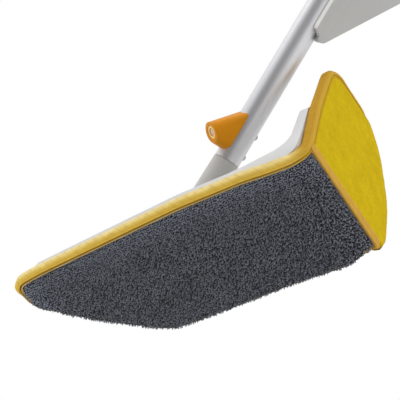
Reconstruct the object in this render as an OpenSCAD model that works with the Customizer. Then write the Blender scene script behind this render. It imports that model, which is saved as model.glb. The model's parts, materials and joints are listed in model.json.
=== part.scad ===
// Flat spray mop: aluminium pole with a trigger grip, a lift-off liquid tank, a spray nozzle,
// a two-pin knuckle joint and an L-shaped plate that carries a fabric pad.
// The pole stands along Z and the origin is the middle of the hang hole. Millimetres.

/* [Pole] */
// Height of the tilt pin below the hang hole
pole_len = 1240; // [900:10:1400]
// Outer diameter of the tube
tube_d = 25; // [25:0.5:26]
// Wall of the tube
tube_wall = 1.2; // [1:0.1:1.5]
// Height of the joint between socket and tube above the tilt pin
socket_h = 81; // [70:1:85]

/* [Knuckle joint] */
// Tilt of the head about the tilt pin, in degrees from straight
tilt_angle = -16; // [-16:1:0]
// Swing of the head about the swing pin, in degrees from straight
swing_angle = -45.5; // [-45.5:0.5:0]
// Distance between the two pins
link_h = 20; // [20:0.5:24]
// Diameter of both pins
pin_d = 6; // [5:0.5:6]

/* [Head] */
// Length of the flat part of the pad, from nose to heel bend
flat_len = 292; // [270:1:300]
// Width of the pile
pile_w = 121; // [115:1:125]
// Outer radius of the heel bend
heel_r = 27; // [24:1:30]
// Height of the turned-up wall
wall_h = 168; // [155:1:175]
// How far the edge binding stands out of the pad
binding_w = 5; // [3:0.5:5]

/* [Tank] */
// Lowest point of the tank above the tilt pin
tank_low = 219; // [215:1:225]
// Height of the tank
tank_h = 262; // [240:1:280]
// Depth of the tank behind the tube's axis
tank_depth = 92; // [85:1:100]
// How far the tank lifts off its dock
tank_lift = 30; // [20:1:40]

/* [Trigger] */
// Travel of the trigger, in degrees
trigger_travel = 10; // [6:1:10]

/* [Hidden] */
$fn = 48;
gap = 0.3;                                // clearance between bodies
tube_r = tube_d / 2;
bore_r = tube_r - tube_wall;
pin_r = pin_d / 2;
pz = -pole_len;                           // height of the tilt pin
tube_top = -135;                          // upper end of the tube, inside the grip
screw_r = 1.5;
hole_r = 1.6;                             // hole that a screw passes through

// knuckle joint
fork_in = 9.5;                            // half gap of each fork
fork_out = 14.3;                          // half width over each fork
ear_r = 9.5;
lobe_r = 8.5;
cross_half = fork_in - 0.4;

// pad layers, measured inwards from the wiping surface
pile_t = 4;
core_t = 9;
hook_t = 10.5;
plate_t = 5;
tray_floor = 13.5;
plate_top = 21;
seam_a = 69;                              // angle along the heel bend where the pile ends
tape_a = 87;                              // angle where the velour wall starts
wall_x = 1 + heel_r;                      // outer face of the wall
bend_x = 1;                               // where the heel bend starts
swing_at = [-153, 54, 27];                // swing pin in the head's own axes

// Outlines are lists of corners [across, along, radius], anticlockwise.
pile_plan = [[bend_x, 0, 0], [bend_x, pile_w, 0], [-188, pile_w, 45], [1 - flat_len, 43, 20],
    [1 - flat_len, 11, 12], [-100, 0, 300]];
plate_plan = [[bend_x, -2, 0], [bend_x, pile_w + 2, 0], [-172, pile_w + 2, 30], [-278, 43, 20],
    [-278, 9, 14], [-105, -2, 200]];
wall_plan = [[0, -8, 0], [pile_w, -8, 0], [pile_w, 8, 14], [135.5, 38, 35], [135.5, 88, 60],
    [120.5, 138, 70], [97, wall_h, 28], [28, wall_h - 0.5, 26], [13, 86, 100], [7, 26, 25],
    [0, 3, 15]];
tank_side = [[7, tank_low, 2.5], [14, tank_low, 7.5], [tank_depth, 342, 30],
    [tank_depth - 6, tank_low + tank_h, 14], [16, tank_low + tank_h, 4],
    [16, tank_low + tank_h - 26, 6], [-2, tank_low + tank_h - 40, 4], [-2, tank_low + 9, 4],
    [7, tank_low + 4.7, 2]];
tank_plan = [[-17, -3, 0], [17, -3, 0], [17, 14, 20], [24, tank_depth, 10], [-24, tank_depth, 10],
    [-17, 14, 20]];

function unit(v) = v / norm(v);
function side_normal(a, b) = let (u = unit([b.x - a.x, b.y - a.y])) [u.y, -u.x];
function before(c, i) = c[(i + len(c) - 1) % len(c)];
function after(c, i) = c[(i + 1) % len(c)];
function turn(m, n) = atan2(m.x * n.y - m.y * n.x, m * n);
// Moves every edge of an outline outwards by d.
function grow(c, d) = [for (i = [0 : len(c) - 1])
    let (m = side_normal(before(c, i), c[i]), n = side_normal(c[i], after(c, i)),
        k = d / (1 + m * n), r = c[i][2])
    [c[i].x + k * (m.x + n.x), c[i].y + k * (m.y + n.y),
        r == 0 ? 0 : max(0.5, r + (turn(m, n) > 0 ? d : -d))]];
// Turns corners with radii into points along the straight edges and arcs.
function rounded(c, steps = 10) = [for (i = [0 : len(c) - 1])
    let (m = side_normal(before(c, i), c[i]), n = side_normal(c[i], after(c, i)),
        t = turn(m, n), s = sign(t), r = c[i][2], k = s * r / (1 + m * n),
        mid = [c[i].x - k * (m.x + n.x), c[i].y - k * (m.y + n.y)], a = atan2(m.y, m.x))
    each r == 0 ? [[c[i].x, c[i].y]] :
        [for (j = [0 : steps]) mid + s * r * [cos(a + t * j / steps), sin(a + t * j / steps)]]];

// Extrudes an outline drawn in Y and Z along X, or in X and Z along Y.
module along_x(x0, x1) translate([x0, 0, 0]) rotate([90, 0, 90]) linear_extrude(x1 - x0) children();
module along_y(y0, y1) translate([0, y1, 0]) rotate([90, 0, 0]) linear_extrude(y1 - y0) children();
module rod_z(r, z0, z1) translate([0, 0, z0]) cylinder(r = r, h = z1 - z0);
module rod_x(r, x0, x1) translate([x0, 0, 0]) rotate([0, 90, 0]) cylinder(r = r, h = x1 - x0);
module rod_y(r, y0, y1) translate([0, y0, 0]) rotate([-90, 0, 0]) cylinder(r = r, h = y1 - y0);
module block(x0, x1, y0, y1, z0, z1) translate([x0, y0, z0]) cube([x1 - x0, y1 - y0, z1 - z0]);
module ring(r, wire) rotate_extrude() translate([r, 0]) circle(r = wire, $fn = 20);

// Places that several parts share
module at_tilt() translate([0, 0, pz]) children();
module cross_pose() at_tilt() rotate([tilt_angle, 0, 0]) children();
module head_pose() cross_pose() translate([0, 0, -link_h]) rotate([0, swing_angle, 0])
    translate(-swing_at) children();

/* ---- pole ---- */
screw_h = [92, 114];                      // nozzle screws above the tilt pin
pipe_h = 103;                             // where the outlet pipe leaves the tube
pipe_x = 5;
pipe_r = 2;
hose_r = 2.4;
hose_y = 7;
feed_h = 241.5;                           // where the feed hose enters the tube
dock_screw_h = 228;
grip_screw_z = -196;                      // screw that passes through the tube
tip_angle = 46;                           // how far the nozzle points below square
face_at = [0, -30, 94];                   // middle of the nozzle's face above the tilt pin

module screw_places() for (h = screw_h) translate([0, 0, pz + h]) children();
module pipe_hole() translate([pipe_x, 0, pz + pipe_h]) rod_y(pipe_r + 0.4, -30, 0);

module pole_tube() color([0.78, 0.79, 0.8]) difference() {
    rod_z(tube_r, pz + socket_h, tube_top);
    rod_z(bore_r, pz + socket_h - 1, tube_top + 1);
    screw_places() rod_y(hole_r, -20, 20);
    pipe_hole();
    translate([0, 0, pz + feed_h]) rod_y(hose_r + 0.2, 0, 20);
    translate([0, 0, pz + dock_screw_h]) rod_y(hole_r, 0, 20);
    translate([0, 8, grip_screw_z]) rod_x(hole_r, -20, 20);
}

// Socket: spigot inside the tube, sleeve flush with it, and a fork for the tilt pin
module joint_socket() color([0.72, 0.71, 0.68]) at_tilt() difference() {
    union() {
        rod_z(bore_r - 0.05, socket_h, socket_h + 24);
        translate([0, 0, 16]) cylinder(r1 = 14, r2 = tube_r + 0.1, h = socket_h - 16.8);
        rod_z(tube_r - 0.6, socket_h - 0.8, socket_h);
        for (s = [-1, 1]) {
            rod_x(ear_r, s < 0 ? -fork_out : fork_in, s < 0 ? -fork_in : fork_out);
            block(s < 0 ? -fork_out : fork_in, s < 0 ? -fork_in : fork_out, -ear_r, ear_r, 0, 18);
        }
    }
    rod_z(8.6, 30, socket_h + 25);
    rod_x(pin_r, -20, 20);
    for (h = screw_h) translate([0, 0, h]) rod_y(hole_r, -20, 20);
    translate([pipe_x, 0, pipe_h]) rod_y(pipe_r + 0.4, -30, 0);
    block(-fork_in, fork_in, -20, 20, -20, 10.5);
    difference() {
        rod_z(40, -10, 16);
        rod_z(fork_out, -11, 17);
        rod_x(ear_r + 1, -30, 30);
    }
}

module tilt_pin() color("silver") at_tilt() {
    rod_x(pin_r, -fork_out - 0.6, fork_out + 0.6);
    for (s = [-1, 1]) rod_x(4.4, s < 0 ? -fork_out - 1.4 : fork_out, s < 0 ? -fork_out : fork_out + 1.4);
}

/* ---- spray nozzle and valve ---- */
module face_pose() translate([0, 0, pz]) translate(face_at) rotate([90 + tip_angle, 0, 0]) children();

// Outline of the housing where it meets the tube
housing_rear = [[-7.8, -20.8, 7], [7.8, -20.8, 7], [7.8, 20.8, 3.5], [-7.8, 20.8, 3.5]];
// Tapered housing, clamped to the front of the tube by two screws from behind
module spray_housing() color([0.82, 0.5, 0.1]) difference() {
    hull() {
        face_pose() translate([0, 0, -2]) cylinder(r = 10, h = 2, $fn = 32);
        translate([0, -4, pz + 108.7]) rotate([90, 0, 0])
            linear_extrude(5) polygon(rounded(housing_rear));
    }
    rod_z(tube_r, pz + 60, pz + 150);
    face_pose() {
        translate([0, 0, -3.4]) cylinder(r = 6.6, h = 6);
        translate([0, 0, -9]) cylinder(r = 2.2, h = 8);
    }
    screw_places() rod_y(screw_r, -18, 0);
    translate([pipe_x, 0, pz + pipe_h]) rod_y(pipe_r, -17, 0);
}

module tip_ring() color([0.93, 0.66, 0.25]) face_pose() translate([0, 0, -3.4]) difference() {
    cylinder(r = 6.55, h = 3);
    translate([0, 0, -1]) cylinder(r = 4, h = 5);
}

module spray_tip() color([0.93, 0.86, 0.82]) face_pose() translate([0, 0, -3.4]) difference() {
    union() {
        cylinder(r = 3.95, h = 1.6);
        cylinder(r1 = 3.4, r2 = 2, h = 2.6);
    }
    translate([0, 0, -1]) cylinder(r = 0.5, h = 5);
}

module tip_seal() color([0.15, 0.15, 0.15]) face_pose() translate([0, 0, -5]) ring(1.6, 0.5);

module housing_screws() color([0.45, 0.45, 0.46]) screw_places() {
    rod_y(screw_r, -17, tube_r);
    rod_y(3.4, tube_r, tube_r + 1.6);
    rod_y(2.5, tube_r + 1.6, tube_r + 2.6);
}

// Pipe from the valve down to the nozzle, beside the screws
module outlet_pipe() color([0.85, 0.86, 0.86]) translate([pipe_x, 0, pz]) {
    rod_z(pipe_r, pipe_h, 130);
    translate([0, 0, pipe_h]) {
        sphere(r = pipe_r);
        rod_y(pipe_r, -17, 0);
    }
}

valve_z = [130, 186];                     // valve body above the tilt pin
chamber_z = [140, 180];
plunger_z = [142, 147];
module valve_body() color([0.9, 0.9, 0.9]) at_tilt() difference() {
    rod_z(bore_r - 0.05, valve_z[0], valve_z[1]);
    rod_z(5, chamber_z[0], chamber_z[1]);
    rod_z(1.6, chamber_z[0], valve_z[1] + 1);
    translate([pipe_x - 1.5, 0, 0]) rod_z(1, valve_z[0] - 1, chamber_z[0] + 1);
    translate([0, hose_y, 0]) rod_z(hose_r + 0.1, valve_z[1] - 8, valve_z[1] + 1);
    translate([0, 5.4, 0]) rod_z(1, chamber_z[0] + 20, valve_z[1] - 7);
}

module valve_plunger() color([0.3, 0.3, 0.32]) at_tilt() difference() {
    union() {
        rod_z(4.6, plunger_z[0], plunger_z[0] + 3);
        rod_z(3.2, plunger_z[0] + 3, plunger_z[1]);
    }
    rod_z(1.5, plunger_z[0] + 1, plunger_z[1] + 1);
}

// Compression spring: a square-sided wire swept along its helix
spring_turns = 7;
spring_step = 24;
spring_z = [plunger_z[0] + 3.8, chamber_z[1] - 0.9];
function spring_ring(k) = let (a = k * 360 / spring_step,
    z = spring_z[0] + (spring_z[1] - spring_z[0]) * k / (spring_turns * spring_step))
    [for (j = [0 : 5]) let (r = 4 + 0.4 * cos(60 * j)) [r * cos(a), r * sin(a), z + 0.4 * sin(60 * j)]];
module valve_spring() color("silver") at_tilt() {
    last = spring_turns * spring_step;
    polyhedron([for (k = [0 : last]) each spring_ring(k)],
        [[5, 4, 3, 2, 1, 0], [for (j = [0 : 5]) last * 6 + j],
        for (k = [0 : last - 1], j = [0 : 5]) let (n = (j + 1) % 6)
        each [[k * 6 + j, k * 6 + n, k * 6 + 6 + n], [k * 6 + j, k * 6 + 6 + n, k * 6 + 6 + j]]]);
}

/* ---- grip, trigger and pull rod ---- */
pivot = [0, -18, -62];                    // trigger pin
trigger_pin_r = 2.5;
arm_y = 0;                                // where the trigger's arm lifts the rod
arm_r = 2.5;
collar_z = pivot.z + arm_r + gap;
grip_low = -215;
grip_high = -22;
slot_half = 6.6;                          // half width of the slot that the trigger moves in
sleeve_z = [-205, -104];
sleeve_t = 1.5;

module pull_rod() color("silver") rod_z(1.5, pz + plunger_z[0] + 1, collar_z + 3);

module rod_collar() color([0.3, 0.3, 0.32]) difference() {
    rod_z(7.5, collar_z, collar_z + 4);
    rod_z(1.5, collar_z - 1, collar_z + 3);
}

grip_side = [[17, grip_low, 4], [19, -160, 60], [20, -80, 60], [18, grip_high, 6],
    [-24, grip_high, 12], [-27, -50, 10], [-25, -76, 12], [-18, -100, 30], [-19, -160, 60],
    [-17, grip_low, 4]];
grip_front = [[15.5, grip_low, 4], [17.5, -120, 80], [17, grip_high, 5], [-17, grip_high, 5],
    [-17.5, -120, 80], [-15.5, grip_low, 4]];
grip_round = [[-17.5, -28, 12], [17.5, -28, 12], [17.5, 21, 14], [-17.5, 21, 14]];
grip_screws_at = [[13.5, -118], [13, -48], [8, grip_screw_z]];

module grip_solid() intersection() {
    along_x(-20, 20) polygon(rounded(grip_side));
    along_y(-30, 30) polygon(rounded(grip_front));
    translate([0, 0, grip_low]) linear_extrude(grip_high - grip_low) polygon(rounded(grip_round));
}

module grip_half(s) difference() {
    grip_solid();
    block(s > 0 ? -30 : 0, s > 0 ? 0 : 30, -40, 40, grip_low - 1, 1);
    rod_z(tube_r, grip_low - 1, tube_top);
    block(-9.5, 9.5, -14, 11, tube_top - 0.01, -34);
    block(-8.4, 8.4, -10.4, 10.4, -35, grip_high + 1);
    block(-slot_half, slot_half, -40, -12, -164, -47);
    translate(pivot) rod_x(trigger_pin_r, -15, 15);
    for (p = grip_screws_at) translate([0, p.x, p.y]) {
        rod_x(screw_r, -13, 13);
        rod_x(3, -20, -12.4);
    }
    difference() {
        block(-40, 40, -40, 40, sleeve_z[0], sleeve_z[1]);
        along_y(-40, 40) polygon(rounded(grow(grip_front, -sleeve_t)));
    }
}
module grip_left() color([0.72, 0.71, 0.68]) grip_half(-1);
module grip_right() color([0.72, 0.71, 0.68]) grip_half(1);

module grip_screws() color([0.45, 0.45, 0.46]) for (p = grip_screws_at) translate([0, p.x, p.y]) {
    rod_x(screw_r, -12.4, 12);
    rod_x(2.9, -14.1, -12.4);
}

// Soft rubber sleeve around the lower half of the grip
module grip_sleeve() color([0.25, 0.26, 0.28]) difference() {
    intersection() {
        grip_solid();
        block(-40, 40, -40, 40, sleeve_z[0] + 0.1, sleeve_z[1] - 0.1);
    }
    along_y(-40, 40) polygon(rounded(grow(grip_front, -sleeve_t)));
    block(-slot_half, slot_half, -40, -12, -164, -47);
}

trigger_side = [[-15, -58, 3], [-24, -56, 6], [-35, -96, 25], [-38, -150, 3], [-34, -157, 2.5],
    [-30, -150, 2.5], [-27, -92, 14], [-20, -70, 8], [-16, -70, 3]];
module trigger() color([0.82, 0.5, 0.1]) difference() {
    union() {
        along_x(-6, 6) polygon(rounded(trigger_side));
        translate(pivot) rod_x(5.8, -6, 6);
        for (s = [-6, 3]) {
            block(s, s + 3, pivot.y, arm_y, pivot.z - arm_r, pivot.z + arm_r);
            translate([0, arm_y, pivot.z]) rod_x(arm_r, s, s + 3);
        }
    }
    translate(pivot) rod_x(trigger_pin_r + 0.05, -10, 10);
}

module trigger_pin() color("silver") translate(pivot) rod_x(trigger_pin_r, -14.9, 14.9);

// Cap with the hang hole, plugged into the top of the grip
module end_cap() color([0.82, 0.5, 0.1]) difference() {
    union() {
        rod_y(13, -6, 6);
        block(-12, 12, -6, 6, -20, 0);
        translate([0, 0, grip_high]) linear_extrude(5)
            polygon(rounded(grow([[-16, -20, 12], [16, -20, 12], [16, 17, 12], [-16, 17, 12]], 0)));
        block(-8.2, 8.2, -10.2, 10.2, -34, grip_high + 1);
    }
    rod_y(6, -10, 10);
}

/* ---- tank and its dock ---- */
dock_y = 19;                              // axis of the outlet
dock_z = [236, 252];
dock_foot = 222;                          // lower end of the plate that the dock is screwed by
dock_back = 15.6;                         // outer face of that plate
outlet_r = 4;
socket_r = outlet_r + 0.3;                // hole that the outlet plugs into
outlet_low = dock_z[0] + 8.4;
recess_top = 266;
module feed_hose() color([0.8, 0.82, 0.82]) translate([0, 0, pz]) {
    translate([0, hose_y, 0]) rod_z(hose_r, valve_z[1] - 8, feed_h);
    translate([0, hose_y, feed_h]) {
        sphere(r = hose_r);
        rod_y(hose_r, 0, dock_y - hose_y - socket_r);
    }
}

module tank_dock() color([0.82, 0.5, 0.1]) translate([0, 0, pz]) difference() {
    union() {
        block(-8, 8, 0, 24.6, dock_z[0], dock_z[1]);
        block(-6, 6, 0, dock_back, dock_foot, dock_z[0]);
    }
    rod_z(tube_r, 0, 400);
    translate([0, dock_y, 0]) rod_z(socket_r, dock_z[0] + 3, dock_z[1] + 1);
    translate([0, 0, feed_h]) rod_y(hose_r, 0, dock_y);
    translate([0, 0, dock_screw_h]) rod_y(screw_r, 0, 30);
}

module dock_screws() color([0.45, 0.45, 0.46]) translate([0, 0, pz + dock_screw_h]) {
    rod_y(screw_r, hose_y + hose_r + 0.5, dock_back);
    rod_y(2.8, dock_back, dock_back + 1.2);
}

// Slim wedge that hooks around the back of the tube, hollow, with a filler neck on top
neck_at = [0, 56];
neck_r = 17;
tank_wall = 2.5;
module tank_outline(d) translate([0, 0, pz]) intersection() {
    along_x(-40, 40) polygon(rounded(grow(tank_side, d)));
    translate([0, 0, 200]) linear_extrude(320) polygon(rounded(grow(tank_plan, d)));
}
module tank_shell() color([0.68, 0.68, 0.67]) difference() {
    union() {
        tank_outline(0);
        translate([neck_at.x, neck_at.y, pz]) rod_z(neck_r, tank_low + tank_h - 3, tank_low + tank_h + 12);
    }
    intersection() {
        tank_outline(-tank_wall);
        translate([0, 0, pz]) block(-40, 40, tube_r + 3.5, 120, recess_top + 3, 600);
    }
    translate([neck_at.x, neck_at.y, pz]) rod_z(neck_r - 3, tank_low + tank_h - 8, tank_low + tank_h + 13);
    rod_z(tube_r + 0.5, pz + 100, pz + 600);
    translate([0, 0, pz]) {
        block(-9, 9, 0, 25.6, 200, recess_top);
        block(-tube_r - 0.5, tube_r + 0.5, -20, 0, 200, 600);
        translate([0, dock_y, 0]) rod_z(outlet_r, recess_top - 1, recess_top + 4);
    }
}

module tank_outlet() color([0.9, 0.9, 0.9]) translate([0, dock_y, pz]) difference() {
    union() {
        rod_z(outlet_r, outlet_low, recess_top + 3);
        translate([0, 2, 0]) rod_z(5, recess_top + 3.1, recess_top + 5);
    }
    rod_z(1.8, dock_z[0], recess_top + 8);
    translate([0, 0, outlet_low + 2]) difference() {
        cylinder(r = 5, h = 2);
        translate([0, 0, -1]) cylinder(r = 3.2, h = 4);
    }
}

module outlet_seal() color([0.15, 0.15, 0.15]) translate([0, dock_y, pz + outlet_low + 3]) ring(3.75, 0.5);

cap_z = tank_low + tank_h;
module cap_gasket() color([0.35, 0.35, 0.36]) translate([neck_at.x, neck_at.y, pz + cap_z]) difference() {
    rod_z(neck_r, 12.2, 13.8);
    rod_z(neck_r - 5, 12, 14);
}

module tank_cap() color([0.82, 0.5, 0.1]) translate([neck_at.x, neck_at.y, pz + cap_z]) difference() {
    union() {
        rod_z(20.2, 1.5, 17);
        for (i = [0 : 23]) rotate(15 * i) translate([20.2, 0, 1.5]) cylinder(r = 1, h = 15.5, $fn = 16);
    }
    rod_z(neck_r + 0.4, 1, 14.1);
}

/* ---- knuckle joint ---- */
module cross_block() color([0.3, 0.3, 0.32]) cross_pose() difference() {
    union() {
        rod_x(lobe_r, -cross_half, cross_half);
        translate([0, 0, -link_h]) rod_y(lobe_r, -cross_half, cross_half);
        block(-lobe_r, lobe_r, -lobe_r, lobe_r, -link_h, 0);
    }
    rod_x(pin_r + 0.05, -20, 20);
    translate([0, 0, -link_h]) rod_y(pin_r + 0.05, -20, 20);
}

module swing_pin() color("silver") head_pose() translate(swing_at) {
    rod_y(pin_r, -fork_out - 0.6, fork_out + 0.6);
    for (s = [-1, 1]) rod_y(4.4, s < 0 ? -fork_out - 1.4 : fork_out, s < 0 ? -fork_out : fork_out + 1.4);
}

/* ---- head, in its own axes: heel towards +X, pile face at Z = 0 ---- */
bracket_half = [28, 25];
fork_r = 9;
bracket_top = tray_floor + 3.5;
bracket_screws_at = [for (x = [-21, 21], y = [-19, 19]) [swing_at.x + x, swing_at.y + y]];

module joint_bracket() color([0.72, 0.71, 0.68]) head_pose() difference() {
    union() {
        translate([swing_at.x, swing_at.y, tray_floor]) linear_extrude(bracket_top - tray_floor)
            polygon(rounded([[-bracket_half.x, -bracket_half.y, 6], [bracket_half.x, -bracket_half.y, 6],
            [bracket_half.x, bracket_half.y, 6], [-bracket_half.x, bracket_half.y, 6]]));
        translate([swing_at.x, swing_at.y, 0]) for (s = [-1, 1]) {
            y0 = s < 0 ? -fork_out : fork_in;
            translate([0, 0, swing_at.z]) rod_y(fork_r, y0, y0 + fork_out - fork_in);
            block(-fork_r, fork_r, y0, y0 + fork_out - fork_in, bracket_top - 1, swing_at.z);
        }
    }
    translate(swing_at) rod_y(pin_r, -20, 20);
    for (p = bracket_screws_at) translate([p.x, p.y, 0]) rod_z(hole_r, 0, 30);
}

module bracket_screws() color([0.45, 0.45, 0.46]) head_pose()
    for (p = bracket_screws_at) translate([p.x, p.y, 0]) {
        rod_z(screw_r, 11, bracket_top);
        rod_z(3, bracket_top, bracket_top + 1.8);
    }

// Strip of the L-shaped pad between depths t0 and t1, from angle a0 to a1 of the heel bend.
// A strip with a0 = 0 takes in the flat part, and one with a1 = 90 the wall up to z = top.
function bend(t, a) = [bend_x + (heel_r - t) * sin(a), heel_r - (heel_r - t) * cos(a)];
module strip(t0, t1, a0 = 0, a1 = 90, top = 200) along_y(-40, 180) polygon([
    if (a0 == 0) [-320, t0],
    for (i = [0 : 12]) bend(t0, a0 + (a1 - a0) * i / 12),
    if (a1 == 90) [wall_x - t0, top],
    if (a1 == 90) [wall_x - t1, top],
    for (i = [12 : -1 : 0]) bend(t1, a0 + (a1 - a0) * i / 12),
    if (a0 == 0) [-320, t1]]);
// Everything inside the pad's outline, grown by d
module pad_outline(d) {
    intersection() {
        translate([0, 0, -5]) linear_extrude(50) polygon(rounded(grow(pile_plan, d)));
        block(-400, bend_x, -40, 180, -5, 50);
    }
    along_x(bend_x, 60) polygon(rounded(grow(wall_plan, d)));
}

module floor_pile() color([0.25, 0.27, 0.3]) head_pose() intersection() {
    strip(0, pile_t, 0, seam_a);
    pad_outline(0);
}
module wall_face() color([0.8, 0.72, 0.08]) head_pose() intersection() {
    strip(0, pile_t, tape_a, 90);
    pad_outline(0);
}
module seam_binding() color([0.85, 0.62, 0.2]) head_pose() intersection() {
    strip(0, pile_t, seam_a, tape_a);
    pad_outline(0);
}
module pad_core() color([0.85, 0.78, 0.3]) head_pose() intersection() {
    strip(pile_t, core_t);
    pad_outline(0);
}
module edge_binding() color([0.88, 0.66, 0.22]) head_pose() difference() {
    intersection() {
        strip(1.5, hook_t - 0.2);
        pad_outline(binding_w);
    }
    pad_outline(0);
}
module hook_strips() color([0.4, 0.4, 0.42]) head_pose() {
    for (p = [[-232, 14], [-186, 82]]) block(p.x, -30, p.y, p.y + 25, core_t, hook_t);
    along_x(wall_x - hook_t, wall_x - core_t) polygon([[32, 40], [104, 40], [96, 130], [40, 130]]);
}

// Shallow white tray with a raised rim, rising into a wall behind the pad's wall
rim_w = 5;
tray_end = -42;                           // heel end of the tray's recess
rise_r = 205;                             // shallow arc that the plate climbs by
rise_at = [-60, plate_top + rise_r];
rise_a = 14.4;                            // a tighter cove takes over from here
cove_r = 21.2;
cove_at = rise_at + (rise_r - cove_r) * [sin(rise_a), -cos(rise_a)];
cove_a = 84;                              // the wall leans back from here
shoulder_h = 95;                          // the wall is as wide as the pad up to here
inset_w = 12;                             // and this much narrower above
plate_edge = [[-2, -8, 0], [pile_w + 2, -8, 0], [pile_w + 2, 25, 14], [132, 48, 30],
    [133, shoulder_h, 9], [134 - inset_w, shoulder_h, 5], [119 - inset_w, 133, 60],
    [91, wall_h - inset_w, 20], [37, wall_h - inset_w, 20], [14 + inset_w, shoulder_h, 5],
    [9.5, shoulder_h, 12], [3, 50, 25], [-2, 24, 12]];
module plate_outline() {
    intersection() {
        linear_extrude(50) polygon(rounded(plate_plan));
        block(-400, rise_at.x, -40, 180, -5, 60);
    }
    along_x(rise_at.x, 60) polygon(rounded(plate_edge));
}
function arc(mid, r, a0, a1) = [for (i = [0 : 12]) let (a = a0 + (a1 - a0) * i / 12)
    mid + r * [sin(a), -cos(a)]];
module base_plate() color([0.93, 0.93, 0.94]) head_pose() difference() {
    intersection() {
        along_y(-40, 180) polygon([[-320, hook_t],
            for (i = [0 : 12]) bend(hook_t, 90 * i / 12),
            [wall_x - hook_t, wall_h], [wall_x - hook_t - plate_t, wall_h],
            each arc(cove_at, cove_r, cove_a, rise_a + 1),
            each arc(rise_at, rise_r, rise_a, 0),
            [-320, plate_top]]);
        plate_outline();
    }
    intersection() {
        translate([0, 0, tray_floor]) linear_extrude(30) polygon(rounded(grow(plate_plan, -rim_w)));
        block(-400, tray_end, -40, 180, tray_floor, 60);
    }
    for (p = bracket_screws_at) translate([p.x, p.y, 0]) rod_z(screw_r, 11, 30);
}

pole_tube();
joint_socket();
tilt_pin();
spray_housing();
spray_tip();
tip_ring();
tip_seal();
housing_screws();
outlet_pipe();
valve_body();
valve_plunger();
valve_spring();
pull_rod();
rod_collar();
feed_hose();
tank_dock();
dock_screws();
tank_shell();
tank_outlet();
outlet_seal();
cap_gasket();
tank_cap();
grip_left();
grip_right();
grip_screws();
grip_sleeve();
trigger();
trigger_pin();
end_cap();
cross_block();
swing_pin();
joint_bracket();
bracket_screws();
base_plate();
hook_strips();
pad_core();
floor_pile();
wall_face();
edge_binding();
seam_binding();
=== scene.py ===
"""Looks of the spray flat mop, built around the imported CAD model.

The pad's outlines and layers are in millimetres, as in the CAD source. A piece's mesh is in metres.
"""

import json
import math

import bmesh
import bpy
import numpy as np
from mathutils import Matrix, Vector


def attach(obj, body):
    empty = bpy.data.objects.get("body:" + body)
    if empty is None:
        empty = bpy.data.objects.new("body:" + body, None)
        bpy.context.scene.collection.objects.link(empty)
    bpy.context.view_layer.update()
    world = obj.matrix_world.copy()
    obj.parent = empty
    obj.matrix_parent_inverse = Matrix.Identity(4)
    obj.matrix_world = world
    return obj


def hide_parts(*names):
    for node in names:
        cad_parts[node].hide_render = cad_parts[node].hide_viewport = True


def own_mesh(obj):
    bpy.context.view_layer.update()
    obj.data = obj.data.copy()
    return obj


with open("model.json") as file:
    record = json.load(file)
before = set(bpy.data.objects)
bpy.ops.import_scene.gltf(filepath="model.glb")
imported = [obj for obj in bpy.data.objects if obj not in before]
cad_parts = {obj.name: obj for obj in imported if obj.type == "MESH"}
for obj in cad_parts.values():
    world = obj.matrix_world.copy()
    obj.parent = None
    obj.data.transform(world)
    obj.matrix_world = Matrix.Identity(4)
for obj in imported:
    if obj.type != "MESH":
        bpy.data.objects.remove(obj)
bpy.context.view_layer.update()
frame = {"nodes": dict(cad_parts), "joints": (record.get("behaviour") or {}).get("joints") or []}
nodes = frame["nodes"]
MM = 0.001
SEED = 7

# ---- where the head is: the rest pose of its two hinges, as the CAD has it ----
SWING_REST = math.radians(-45.5)
SWING_AT = Vector((-153, 54, 27)) * MM  # the swing pin in the head's own axes
swing = next(j for j in frame["joints"] if j["name"] == "head_swing")
tilt_rest = math.atan2(swing["axis"][2], swing["axis"][1])
HEAD = (
    Matrix.Translation(swing["pos_m"])
    @ Matrix.Rotation(tilt_rest, 4, "X")
    @ Matrix.Rotation(SWING_REST, 4, "Y")
    @ Matrix.Translation(-SWING_AT)
)

# ---- the pad: heel towards +X, pile face at Z = 0, corners are (across, along, radius) ----
FLAT_LEN, PILE_W, HEEL_R, WALL_H = 292, 121, 27, 168
BEND_X = 1
MID_DEPTH = 4.5
MID_R = HEEL_R - MID_DEPTH
QUARTER = MID_R * math.pi / 2
SEAM_A, TAPE_A = math.radians(69), math.radians(87)
CORE_T = 9
PILE_PLAN = [
    (BEND_X, 0, 0),
    (BEND_X, PILE_W, 0),
    (-188, PILE_W, 45),
    (1 - FLAT_LEN, 43, 20),
    (1 - FLAT_LEN, 11, 12),
    (-100, 0, 300),
]
WALL_PLAN = [
    (0, -8, 0),
    (PILE_W, -8, 0),
    (PILE_W, 8, 14),
    (135.5, 38, 35),
    (135.5, 88, 60),
    (120.5, 138, 70),
    (97, WALL_H, 28),
    (28, WALL_H - 0.5, 26),
    (13, 86, 100),
    (7, 26, 25),
    (0, 3, 15),
]


def rounded(corners, steps=10):
    """Points along an outline whose corners carry a radius."""
    points = []
    for i, (x, y, radius) in enumerate(corners):
        here = np.array((x, y), float)
        if radius == 0:
            points.append(here)
            continue
        back = here - np.array(corners[i - 1][:2], float)
        ahead = np.array(corners[(i + 1) % len(corners)][:2], float) - here
        back, ahead = back / np.linalg.norm(back), ahead / np.linalg.norm(ahead)
        turn = math.atan2(back[0] * ahead[1] - back[1] * ahead[0], back @ ahead)
        start = here - back * radius * math.tan(abs(turn) / 2)
        spoke = np.array((back[1], -back[0])) * math.copysign(radius, turn)
        for k in range(steps + 1):
            c, s = math.cos(turn * k / steps), math.sin(turn * k / steps)
            points.append(start - spoke + (c * spoke[0] - s * spoke[1], s * spoke[0] + c * spoke[1]))
    return np.array(points)


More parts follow.
